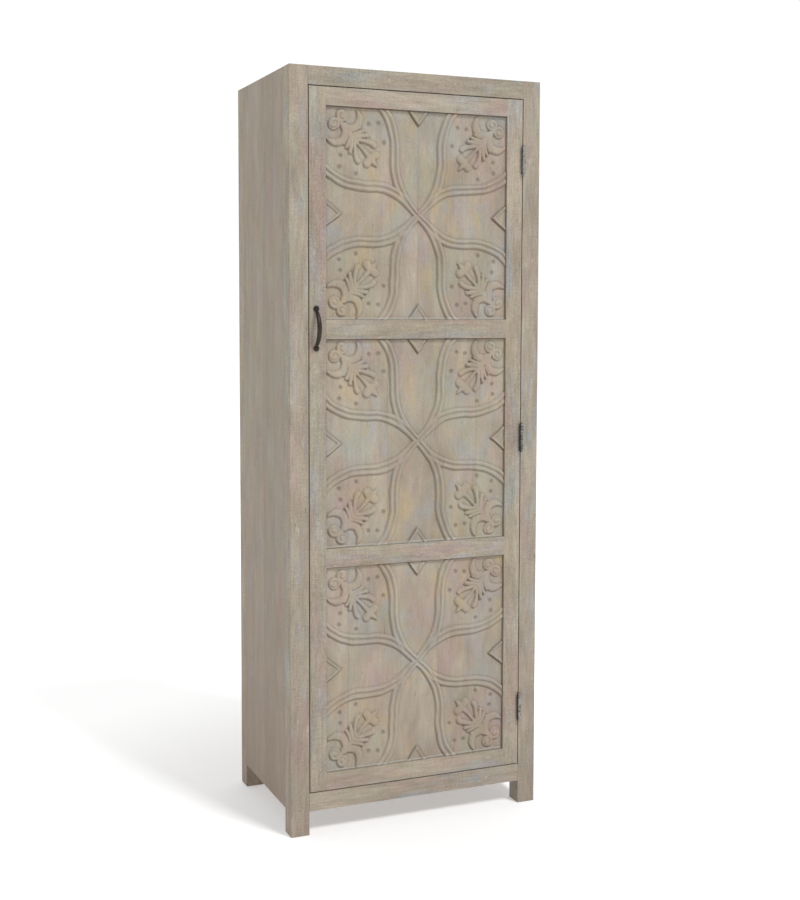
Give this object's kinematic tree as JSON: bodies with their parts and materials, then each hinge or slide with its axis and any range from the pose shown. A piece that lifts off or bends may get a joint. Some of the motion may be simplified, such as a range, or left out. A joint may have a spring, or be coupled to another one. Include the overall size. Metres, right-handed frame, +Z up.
{
  "type": "tall single-door almirah",
  "caption": "Tall square-posted wooden almirah on short legs, with an inset framed door of carved panels, butt hinges, a bow pull and shelves inside.",
  "frame": {"origin": "on the floor, in the middle of the outline that the case and the pull cover together", "axes": "+X to the right of a person who faces the door, +Y from the door to the back, +Z up"},
  "size_m": [0.7112, 0.4882, 1.9812],
  "materials": {
    "case_wood": "limed mango wood, matt, worn at the edges",
    "door_wood": "limed mango wood, matt, worn at the edges",
    "carved_wood": "limed mango wood, carved, with darker wax in the cuts",
    "inner_wood": "plain waxed mango wood",
    "hinge_steel": "dull zinced steel with a little rust",
    "catch_plastic": "brown moulded plastic",
    "pull_iron": "blackened iron, waxed"
  },
  "bodies": {
    "case": {"post_front_left": "case_wood", "post_front_right": "case_wood", "post_rear_left": "case_wood", "post_rear_right": "case_wood", "front_bottom_rail": "case_wood", "front_top_rail": "case_wood", "rear_bottom_rail": "case_wood", "rear_top_rail": "case_wood", "side_panel_left": "case_wood", "side_panel_right": "case_wood", "back_panel": "inner_wood", "floor_board": "inner_wood", "top_board": "case_wood", "shelf_1": "inner_wood", "shelf_2": "inner_wood", "shelf_3": "inner_wood", "shelf_4": "inner_wood", "floor_cleat_left": "inner_wood", "floor_cleat_right": "inner_wood", "shelf_1_cleat_left": "inner_wood", "shelf_1_cleat_right": "inner_wood", "shelf_2_cleat_left": "inner_wood", "shelf_2_cleat_right": "inner_wood", "shelf_3_cleat_left": "inner_wood", "shelf_3_cleat_right": "inner_wood", "shelf_4_cleat_left": "inner_wood", "shelf_4_cleat_right": "inner_wood", "top_cleat_left": "inner_wood", "top_cleat_right": "inner_wood", "hinge_bottom_case_leaf": "hinge_steel", "hinge_middle_case_leaf": "hinge_steel", "hinge_top_case_leaf": "hinge_steel", "hinge_bottom_pin": "hinge_steel", "hinge_middle_pin": "hinge_steel", "hinge_top_pin": "hinge_steel", "case_hinge_screws": "hinge_steel", "magnetic_catch": "catch_plastic", "catch_screws": "hinge_steel"},
    "door": {"door_pull_stile": "door_wood", "door_hinge_stile": "door_wood", "door_bottom_rail": "door_wood", "door_lower_middle_rail": "door_wood", "door_upper_middle_rail": "door_wood", "door_top_rail": "door_wood", "carved_panel_bottom": "carved_wood", "carved_panel_middle": "carved_wood", "carved_panel_top": "carved_wood", "hinge_bottom_door_leaf": "hinge_steel", "hinge_middle_door_leaf": "hinge_steel", "hinge_top_door_leaf": "hinge_steel", "door_hinge_screws": "hinge_steel", "catch_strike_plate": "hinge_steel", "strike_screws": "hinge_steel", "pull_handle": "pull_iron", "pull_handle_screws": "pull_iron"}
  },
  "joints": [
    {"name": "door_hinge", "type": "hinge", "parent": "case", "child": "door", "pos_m": [0.30435, -0.2189, 1.0221], "axis": [0, 0, 1], "range_deg": [0, 180]}
  ]
}
